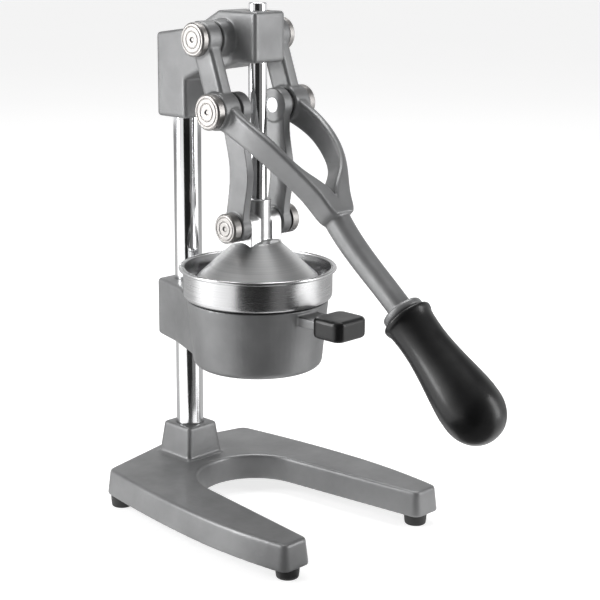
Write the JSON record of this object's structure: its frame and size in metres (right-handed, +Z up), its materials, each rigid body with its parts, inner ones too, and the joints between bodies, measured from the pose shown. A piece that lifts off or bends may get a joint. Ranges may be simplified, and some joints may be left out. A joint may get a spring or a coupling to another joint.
{
  "type": "hand lever citrus press",
  "caption": "Hand-lever citrus press: a raised lever lifts a bell on a guide rod, two links pull it down over a strainer dome in a bowl.",
  "frame": {"origin": "centre of the bounding box, on the surface the feet stand on", "axes": "+Z up, -Y towards the user (the side the lever reaches to), +X to the user's right"},
  "size_m": [0.196, 0.3722, 0.4284],
  "materials": {
    "casting_paint": "satin grey enamel over cast iron",
    "chrome": "bright chrome plate",
    "bowl_steel": "brushed stainless sheet",
    "bell_aluminium": "satin turned aluminium",
    "grip_black": "semi-gloss black",
    "foot_rubber": "matt",
    "zinc": "zinc plated",
    "washer_nylon": "matt black",
    "bush_bronze": "sintered bronze"
  },
  "bodies": {
    "root": {"base_casting": "casting_paint", "foot_front_left": "foot_rubber", "foot_front_right": "foot_rubber", "foot_rear_left": "foot_rubber", "foot_rear_right": "foot_rubber", "foot_screws": "zinc", "column": "chrome", "column_bolt": "zinc", "column_washer": "zinc", "head_casting": "casting_paint", "head_set_screws": "zinc", "rod_bush": "bush_bronze", "cup_bracket": "casting_paint", "bracket_set_screws": "zinc", "cup_grip": "grip_black", "cup_grip_screw": "zinc", "juice_bowl": "bowl_steel", "strainer_cone": "bowl_steel", "pivot_pin_a_left": "chrome", "washer_a_left": "washer_nylon", "pivot_pin_a_right": "chrome", "washer_a_right": "washer_nylon"},
    "lever": {"lever_casting": "casting_paint", "lever_stud": "zinc", "lever_grip": "grip_black", "pivot_pin_b_left": "chrome", "pivot_pin_b_right": "chrome", "washer_b_left": "washer_nylon", "washer_b_right": "washer_nylon"},
    "plunger": {"press_bell": "bell_aluminium", "guide_rod": "chrome", "rod_lock_pin": "zinc", "pivot_pin_c_left": "chrome", "pivot_pin_c_right": "chrome", "washer_c_left": "washer_nylon", "washer_c_right": "washer_nylon"},
    "link_left": {"link_left": "casting_paint", "link_bush_left": "zinc"},
    "link_right": {"link_right": "casting_paint", "link_bush_right": "zinc"}
  },
  "joints": [
    {"name": "lever_pivot", "type": "hinge", "parent": "root", "child": "lever", "pos_m": [0, 0.08618, 0.40025], "axis": [-1, 0, 0], "range_deg": [0, 120]},
    {"name": "plunger_slide", "type": "slide", "parent": "root", "child": "plunger", "axis": [0, 0, 1], "range_m": [0, 0.10169]},
    {"name": "link_left_pivot", "type": "hinge", "parent": "plunger", "child": "link_left", "pos_m": [0, 0.06478, 0.24995], "axis": [1, 0, 0], "range_deg": [0, 10.76]},
    {"name": "link_right_pivot", "type": "hinge", "parent": "plunger", "child": "link_right", "pos_m": [0, 0.06478, 0.24995], "axis": [1, 0, 0], "range_deg": [0, 10.76]}
  ],
  "couplings": [
    {"joint": "plunger_slide", "follows": "lever_pivot", "m_per_rad": 0.048506},
    {"joint": "link_left_pivot", "follows": "lever_pivot", "ratio": 0.089266},
    {"joint": "link_right_pivot", "follows": "lever_pivot", "ratio": 0.089266}
  ]
}
